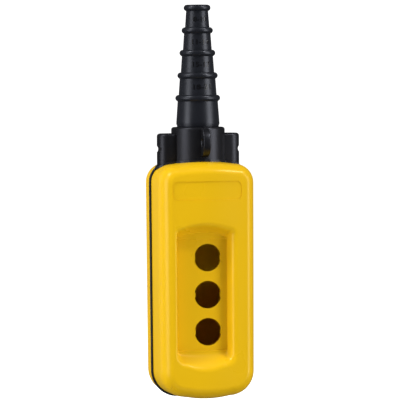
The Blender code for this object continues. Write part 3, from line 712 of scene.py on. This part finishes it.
def make_rear_shell():
    body = loft("rear_shell_fine", rear_skin(), caps=(False, True))
    thicken(body)
    for x, z in screw_places():
        join(body, cylinder("pillar", BOSS_RADIUS, PILLAR_END, REAR_DEPTH - WALL / 2,
                            (x, 0.0, z)))
    mouth_radius = COUNTERBORE_RADIUS + COUNTERBORE_CHAMFER
    mouth = REAR_DEPTH + 0.02        # a hair past the back, for a clean cut
    profile = [(COUNTERBORE_RADIUS, SEAT_LEVEL),
               (COUNTERBORE_RADIUS, REAR_DEPTH - COUNTERBORE_CHAMFER),
               (mouth_radius, mouth), (mouth_radius, REAR_DEPTH + OVERLAP)]
    for x, z in screw_places():
        centre = (x, 0.0, z)
        cut(body, turned("counterbore", profile, centre, "Y", 48))
        cut(body, cylinder("screw_way", SCREW_WAY_RADIUS, PILLAR_END - OVERLAP,
                           SEAT_LEVEL + OVERLAP, centre))
    cut(body, head_way(BODY_TOP + REAR_OVERHANG))
    finish_piece(body, YELLOW, "rear_cover", "yellow_plastic", "rear_shell")


# ---- Gasket ----------------------------------------------------------------------------------
def make_gasket():
    high = span("shell_gasket")[1]
    proud = high.x - BODY_HALF
    half = high.y
    profile = [(GASKET_WIDTH, -half), (-GASKET_ROOT, -half)]
    bead_steps = 8
    for i in range(bead_steps + 1):
        angle = -math.pi / 2 + math.pi * i / bead_steps
        profile.append((-proud + GASKET_ROUND * (1 - math.cos(angle)), half * math.sin(angle)))
    profile += [(-GASKET_ROOT, half), (GASKET_WIDTH, half)]
    rings = [[(x, y, z) for x, z in body_outline(inset)] for inset, y in profile]
    body = loft("shell_gasket_fine", rings, closed=True)
    cut(body, head_way(BODY_TOP))
    for x, z in screw_places():
        cut(body, cylinder("boss_way", BOSS_RADIUS + CLEARANCE, -PAST, PAST, (x, 0.0, z)))
    finish_piece(body, RUBBER, "front_assembly", "black_rubber", "shell_gasket")


# ---- Head ------------------------------------------------------------------------------------
def edge_arc(radius, level, size):
    """Rounded outer top edge: (radius, level) points from the side to the top."""
    steps = 6
    points = []
    for i in range(steps + 1):
        angle = math.pi / 2 * i / steps
        points.append((radius - size * (1 - math.cos(angle)),
                       level - size * (1 - math.sin(angle))))
    return points


def make_head():
    profile = [(NEAR_AXIS, FLANGE_BOTTOM), (COLLAR_RADIUS, FLANGE_BOTTOM)]
    profile += edge_arc(COLLAR_RADIUS, COLLAR_TOP, COLLAR_EDGE)
    profile += [(NEAR_AXIS, COLLAR_TOP)]
    body = turned("cable_head_fine", profile, steps=128)
    join(body, make_wings(), make_lug(), make_flange(), make_clamp_base())
    seat_top = COLLAR_TOP - LIP_THICKNESS
    cut(body,
        cylinder("bore", NECK_RADIUS + CLEARANCE, FLANGE_BOTTOM - BORE_SINK, 0.0,
                 (0, 0, 0), "Z", 96),
        cylinder("sleeve_seat", SEAT_RADIUS, seat_top - SEAT_DEPTH, seat_top, (0, 0, 0), "Z", 96),
        cylinder("cable_groove", CLAMP_GROOVE_RADIUS, HEAD_LOW.z - PAST, FLANGE_BOTTOM + PAST,
                 (0, 0, 0), "Z", 48))
    for index in (1, 2):
        low, high = span(f"clamp_screw_{index}")
        centre = ((low.x + high.x) / 2, 0.0, (low.z + high.z) / 2)
        cut(body, cylinder("clamp_way", CLAMP_WAY_RADIUS, 0.0, CLAMP_BACK + PAST, centre),
            cylinder("nut_pocket", NUT_POCKET_RADIUS, NUT_POCKET_Y, CLAMP_BACK + PAST, centre,
                     steps=6))
    finish_piece(body, BLACK, "front_assembly", "black_plastic", "cable_head")


def make_flange():
    """Flange under the shells' top, cut back where the rear shell's wall is."""
    half_depth = COLLAR_RADIUS + OPENING_GROW + FLANGE_GROW
    outline = rounded_outline(-FLANGE_HALF_SPAN, FLANGE_HALF_SPAN, half_depth, -half_depth,
                              FLANGE_CORNER, FLANGE_CORNER, steps=(8, 4, 4))
    back = REAR_DEPTH - WALL - FLANGE_GAP
    return prism("flange", [(x, min(y, back)) for x, y in outline], FLANGE_BOTTOM, FLANGE_TOP)


def make_clamp_base():
    """Fixed half of the cable clamp, below the flange."""
    block = [(-CLAMP_HALF_WIDTH, CLAMP_BASE_Y), (CLAMP_HALF_WIDTH, CLAMP_BASE_Y),
             (CLAMP_HALF_WIDTH, CLAMP_BACK), (-CLAMP_HALF_WIDTH, CLAMP_BACK)]
    return prism("clamp_base", block, HEAD_LOW.z, FLANGE_BOTTOM + OVERLAP)


def make_wings():
    """Stadium block across the collar with rounded top edges and a notch in each end."""
    end = WING_HALF_SPAN - WING_HALF_DEPTH
    top = COLLAR_TOP - WING_DROP
    levels = [(0.0, FLANGE_TOP - WING_FOOT)]
    steps = 6
    for i in range(steps + 1):
        angle = math.pi / 2 * i / steps
        levels.append((WING_EDGE * (1 - math.cos(angle)), top - WING_EDGE * (1 - math.sin(angle))))
    rings = []
    around = 20
    for inset, z in levels:
        half = WING_HALF_DEPTH - inset
        ring = []
        for side in (1, -1):
            for i in range(around + 1):
                angle = -math.pi / 2 + math.pi * i / around
                ring.append((side * (end + half * math.cos(angle)),
                             side * half * math.sin(angle), z))
        rings.append(ring)
    wings = loft("wings", rings)
    for side in (1, -1):
        centre = (side * (WING_HALF_SPAN + NOTCH_RADIUS - NOTCH_SINK), 0.0, top - NOTCH_DROP)
        reach = WING_HALF_DEPTH + PAST
        cut(wings, cylinder("notch", NOTCH_RADIUS, -reach, reach, centre, steps=28))
    return wings


def make_lug():
    """D-shaped eye plate with rounded edges."""
    tip = -(COLLAR_RADIUS + LUG_REACH)
    root = -(COLLAR_RADIUS - LUG_ROOT)
    centre_y = tip + LUG_RADIUS
    centre_z = COLLAR_TOP - LUG_RADIUS
    half = LUG_THICKNESS / 2
    layers = []
    steps = 4
    for i in range(steps + 1):
        angle = math.pi / 2 * i / steps
        layers.append((LUG_EDGE * (1 - math.sin(angle)),
                       -half + LUG_EDGE * (1 - math.cos(angle))))
    layers += [(inset, -x) for inset, x in reversed(layers)]
    rings = []
    arc = 28
    for inset, x in layers:
        radius = LUG_RADIUS - inset
        ring = [(LUG_X + x, root, centre_z + radius)]
        for i in range(arc + 1):
            angle = math.pi / 2 + math.pi * i / arc
            ring.append((LUG_X + x, centre_y + radius * math.cos(angle),
                         centre_z + radius * math.sin(angle)))
        ring.append((LUG_X + x, root, centre_z - radius))
        rings.append(ring)
    lug = loft("lug", rings)
    cut(lug, eye_cutter(half))
    return lug


def eye_cutter(half):
    """Cutter for the plate's eye, chamfered at both sides; half is half the plate."""
    beyond = 0.5
    mouth = LUG_EYE_CHAMFER + beyond
    floor = half - LUG_EYE_CHAMFER
    steps = 32
    rings = []
    for offset, grow in ((-half - beyond, mouth), (-floor, 0.0), (floor, 0.0),
                         (half + beyond, mouth)):
        radius = LUG_EYE_RADIUS + grow
        ring = []
        for i in range(steps):
            angle = 2 * math.pi * i / steps
            ring.append((LUG_X + offset, LUG_EYE[0] + radius * math.cos(angle),
                         LUG_EYE[1] + radius * math.sin(angle)))
        rings.append(ring)
    return loft("eye", rings)


# ---- Sleeve ----------------------------------------------------------------------------------
BEAD_COUNT = 5
BEAD_PITCH = 18.3
FIRST_BEAD = 2.6
BEAD_RADIUS = 2.6
BEAD_TOP_RADIUS = 10.9
BEAD_STEP = 1.83
CONE_TOP_RADIUS = 8.8
CONE_STEP = 1.85
CONE_FLARE = 1.1
BORE_TOP_RADIUS = 4.6
BORE_STEP = 1.7
BORE_RAMP = 1.5              # length of each step between two bores
FOOT_BORE_GROW = 1.0         # last bore is this much wider at the sleeve's foot
MOUTH_CHAMFER = 0.8
BEAD_MARGIN = 0.15           # bead points nearer the cone than this are left out
NECK_RISE = 1.0              # the foot's neck starts this far above the collar
SLEEVE_FLANGE = 3.0          # height of the foot's flange
SLEEVE_FLANGE_REACH = 1.5    # and how far it stands out
SLEEVE_SMOOTH_BELOW = 40.0   # degrees, as SMOOTH_BELOW


def cone_radius(section, depth):
    """Outer radius of a section at a depth below its bead's middle."""
    length = BEAD_PITCH - BEAD_RADIUS
    return CONE_TOP_RADIUS + section * CONE_STEP + CONE_FLARE * (depth / length)


def sleeve_profile():
    """Closed (radius, level) profile: the beaded cone outside and the stepped bore inside."""
    outer = []
    bead_steps = 14
    for i in range(BEAD_COUNT):
        centre = -(FIRST_BEAD + i * BEAD_PITCH)
        crest = BEAD_TOP_RADIUS + i * BEAD_STEP - BEAD_RADIUS
        for k in range(bead_steps + 1):
            angle = math.pi / 2 - math.pi * k / bead_steps
            radius = crest + BEAD_RADIUS * math.cos(angle)
            level = centre + BEAD_RADIUS * math.sin(angle)
            upper = cone_radius(i - 1, BEAD_PITCH - BEAD_RADIUS) if i else 0.0
            floor = upper if angle > 0 else cone_radius(i, BEAD_RADIUS)
            if radius > floor + BEAD_MARGIN:
                outer.append((radius, level))
        last = i == BEAD_COUNT - 1
        run = BEAD_PITCH if not last else -(FIRST_BEAD + i * BEAD_PITCH) - COLLAR_TOP
        cone_steps = 8
        for k in range(cone_steps + 1):
            depth = BEAD_RADIUS + (run - 2 * BEAD_RADIUS) * k / cone_steps
            outer.append((cone_radius(i, depth), centre - depth))
    flange = NECK_RADIUS + SLEEVE_FLANGE_REACH
    foot = COLLAR_TOP - LIP_THICKNESS - CLEARANCE
    end = foot - SLEEVE_FLANGE
    outer += [(NECK_RADIUS, COLLAR_TOP + NECK_RISE), (NECK_RADIUS, foot), (flange, foot),
              (flange, end)]
    mouth = [(BORE_TOP_RADIUS, -MOUTH_CHAMFER), (BORE_TOP_RADIUS + MOUTH_CHAMFER, 0.0)]
    bore = []
    radius = BORE_TOP_RADIUS
    for i in range(1, BEAD_COUNT):
        level = -(FIRST_BEAD + i * BEAD_PITCH) + BEAD_RADIUS
        bore += [(radius, level), (radius + BORE_STEP, level - BORE_RAMP)]
        radius += BORE_STEP
    bore.append((radius + FOOT_BORE_GROW, end))
    return outer + list(reversed(bore)) + mouth


def make_sleeve():
    body = turned("cable_sleeve_fine", sleeve_profile(), steps=128, hollow=True)
    finish_piece(body, RUBBER, "front_assembly", "black_rubber", "cable_sleeve",
                 sharp=SLEEVE_SMOOTH_BELOW)


SIZE_MARKS = ("8-10", "11-14", "15-17", "18-21")
MARK_HEIGHT = 4.1
MARK_PITCH = 2.95            # width that each character takes
MARK_RELIEF = 0.3            # how far the numerals stand out
MARK_ROOT = 0.4              # and how far they reach into the sleeve
MARK_TYPE_SIZE = 6.0         # size the numerals are drawn at before they are fitted
MARK_BOLDNESS = 0.05         # extra width of their strokes at that size
MARK_TURN = 1.0              # degrees round from the front, to the right


def make_size_mark(index, text):
    """Raised numerals wrapped on the sleeve's cone between two beads."""
    curve = bpy.data.curves.new(f"size_mark_{index}", "FONT")
    curve.body = text
    curve.align_x = "CENTER"
    curve.align_y = "CENTER"
    curve.size = MARK_TYPE_SIZE
    curve.extrude = 0.5
    curve.offset = MARK_BOLDNESS
    curve.resolution_u = 4
    thing = bpy.data.objects.new(f"size_mark_{index}", curve)
    bpy.context.scene.collection.objects.link(thing)
    bpy.context.view_layer.update()
    mesh = bpy.data.meshes.new_from_object(thing.evaluated_get(
        bpy.context.evaluated_depsgraph_get()))
    bpy.data.objects.remove(thing, do_unlink=True)
    depth = BEAD_PITCH / 2
    centre = -(FIRST_BEAD + index * BEAD_PITCH + depth)
    xs = [vertex.co.x for vertex in mesh.vertices]
    ys = [vertex.co.y for vertex in mesh.vertices]
    width = MARK_PITCH * len(text) / (max(xs) - min(xs))
    height = MARK_HEIGHT / (max(ys) - min(ys))
    for vertex in mesh.vertices:
        x = (vertex.co.x - (max(xs) + min(xs)) / 2) * width
        y = (vertex.co.y - (max(ys) + min(ys)) / 2) * height
        z = vertex.co.z
        base = cone_radius(index, depth - y)
        radius = base + (MARK_RELIEF if z > 0 else -MARK_ROOT)
        angle = math.radians(MARK_TURN) + x / base
        vertex.co = Vector((radius * math.sin(angle), -radius * math.cos(angle),
                            centre + y)) * MM
    piece = bpy.data.objects.new(f"size_mark_{index}", mesh)
    bpy.context.scene.collection.objects.link(piece)
    mesh.materials.clear()
    # their material darkens the numerals with painted shade, besides their polish
    mesh.materials.append(POLISHED_PAINTED_SHADE)
    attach(piece, "front_assembly")


# ---- CAD nodes that stay ---------------------------------------------------------------------
def dress_nodes():
    looks = {"zinc_steel": ZINC, "brass": BRASS, "black_plastic": BLACK, "black_rubber": RUBBER,
             "yellow_plastic": YELLOW}
    for part in frame["record"]["subparts"]:
        node = frame["nodes"][part["node"]]
        node.data.materials.clear()
        node.data.materials.append(looks[part["material_slot"]])


# ---- Studio ----------------------------------------------------------------------------------
WORLD_FILL = 0.08
FLOOR_LEVEL = -420.0
FLOOR_REACH = 5000.0         # to each side, to the front and back to the backdrop
FLOOR_BEND = 800.0           # radius of the curve up into the backdrop
BACKDROP_TOP = 3000.0
LIGHT_CENTRE = (0.0, 0.0, -0.17)     # in metres, like the lights' sizes and distances
# name, (azimuth, elevation, distance), size, watts, whether glossy surfaces mirror it
LIGHTS = (
    ("key_left", (-78.0, 50.0, 2.1), (0.28, 0.28), 15.5, True),
    ("key_right", (50.0, 50.0, 2.1), (0.28, 0.28), 15.5, True),
    ("low_card", (-10.0, -50.0, 2.0), (1.5, 0.8), 13.5, False),
    ("top_fill", (-10.0, 76.0, 2.0), (1.2, 0.8), 8.0, False),
    ("left_box", (-74.0, 6.0, 1.5), (0.7, 1.3), 10.0, True),
    ("right_box", (53.0, 6.0, 1.5), (0.7, 1.3), 14.0, True),
    ("left_fill", (-84.0, 10.0, 1.8), (0.9, 1.3), 12.0, False),
    ("back_left", (-140.0, 8.0, 1.6), (0.6, 1.2), 9.0, False),
)


def make_camera():
    """Long lens at the photograph's angle."""
    camera = bpy.data.objects.new("camera", bpy.data.cameras.new("camera"))
    bpy.context.scene.collection.objects.link(camera)
    azimuth, elevation = math.radians(VIEW_AZIMUTH), math.radians(VIEW_ELEVATION)
    back = Vector((math.sin(azimuth) * math.cos(elevation),
                   -math.cos(azimuth) * math.cos(elevation), math.sin(elevation)))
    camera.location = (Vector(VIEW_CENTRE) + back * VIEW_DISTANCE) * MM
    look = back.to_track_quat("Z", "Y").to_matrix().to_4x4()
    roll = Matrix.Rotation(math.radians(-VIEW_ROLL), 4, "Z")
    camera.matrix_world = Matrix.Translation(camera.location) @ look @ roll
    camera.data.sensor_width = SENSOR
    camera.data.lens = SENSOR * VIEW_DISTANCE / FRAME_WIDTH
    camera.data.clip_end = 100.0
    bpy.context.scene.camera = camera


def area_light(name, place, size, power, mirrored):
    data = bpy.data.lights.new(name, "AREA")
    data.shape = "RECTANGLE"
    data.size, data.size_y = size
    data.energy = power
    light = bpy.data.objects.new(name, data)
    bpy.context.scene.collection.objects.link(light)
    light.location = place
    light.visible_glossy = mirrored
    light.rotation_euler = (place - Vector(LIGHT_CENTRE)).to_track_quat("Z", "Y").to_euler()


def polar(azimuth, elevation, distance):
    """A place round the object: azimuth 0 is in front, positive to the right."""
    a, e = math.radians(azimuth), math.radians(elevation)
    out = Vector((math.sin(a) * math.cos(e), -math.cos(a) * math.cos(e), math.sin(e)))
    return out * distance + Vector(LIGHT_CENTRE)


def make_world():
    """Weak even light, with white paper where the camera looks past everything."""
    world = bpy.data.worlds.new("studio")
    bpy.context.scene.world = world
    world.use_nodes = True
    nodes, links = world.node_tree.nodes, world.node_tree.links
    fill = nodes["Background"]
    fill.inputs["Color"].default_value = (1.0, 1.0, 1.0, 1.0)
    fill.inputs["Strength"].default_value = WORLD_FILL
    paper = nodes.new("ShaderNodeBackground")
    paper.inputs["Color"].default_value = (1.0, 1.0, 1.0, 1.0)
    ray = nodes.new("ShaderNodeLightPath")
    mix = nodes.new("ShaderNodeMixShader")
    links.new(ray.outputs["Is Camera Ray"], mix.inputs["Fac"])
    links.new(fill.outputs["Background"], mix.inputs[1])
    links.new(paper.outputs["Background"], mix.inputs[2])
    links.new(mix.outputs["Shader"], nodes["World Output"].inputs["Surface"])


def make_floor():
    """Pale floor that curves up into a backdrop; only the camera sees it."""
    profile = [(-FLOOR_REACH, FLOOR_LEVEL), (FLOOR_REACH - FLOOR_BEND, FLOOR_LEVEL)]
    steps = 12
    for i in range(1, steps + 1):
        angle = math.pi / 2 * i / steps
        profile.append((FLOOR_REACH - FLOOR_BEND + FLOOR_BEND * math.sin(angle),
                        FLOOR_LEVEL + FLOOR_BEND * (1 - math.cos(angle))))
    profile.append((FLOOR_REACH, BACKDROP_TOP))
    verts = [(x, y, z) for x in (-FLOOR_REACH, FLOOR_REACH) for y, z in profile]
    count = len(profile)
    faces = [(i, i + 1, count + i + 1, count + i) for i in range(count - 1)]
    floor = new_piece("studio_floor", verts, faces)
    floor.data.shade_smooth()
    material, _, shader = new_material("pale_floor")
    shader.inputs["Base Color"].default_value = (0.93, 0.93, 0.93, 1.0)
    shader.inputs["Roughness"].default_value = 0.8
    shader.inputs["Emission Color"].default_value = (1.0, 1.0, 1.0, 1.0)
    shader.inputs["Emission Strength"].default_value = 1.0
    floor.data.materials.append(material)
    floor.visible_diffuse = False
    floor.visible_glossy = False
    floor.visible_shadow = False


def make_studio():
    bpy.context.scene.view_settings.view_transform = "Standard"
    make_world()
    make_floor()
    for name, direction, size, power, mirrored in LIGHTS:
        area_light(name, polar(*direction), size, power, mirrored)


make_camera()
make_front_shell()
make_rear_shell()
make_gasket()
make_head()
make_sleeve()
for mark_index, mark_text in enumerate(SIZE_MARKS):
    make_size_mark(mark_index, mark_text)
dress_nodes()
make_studio()
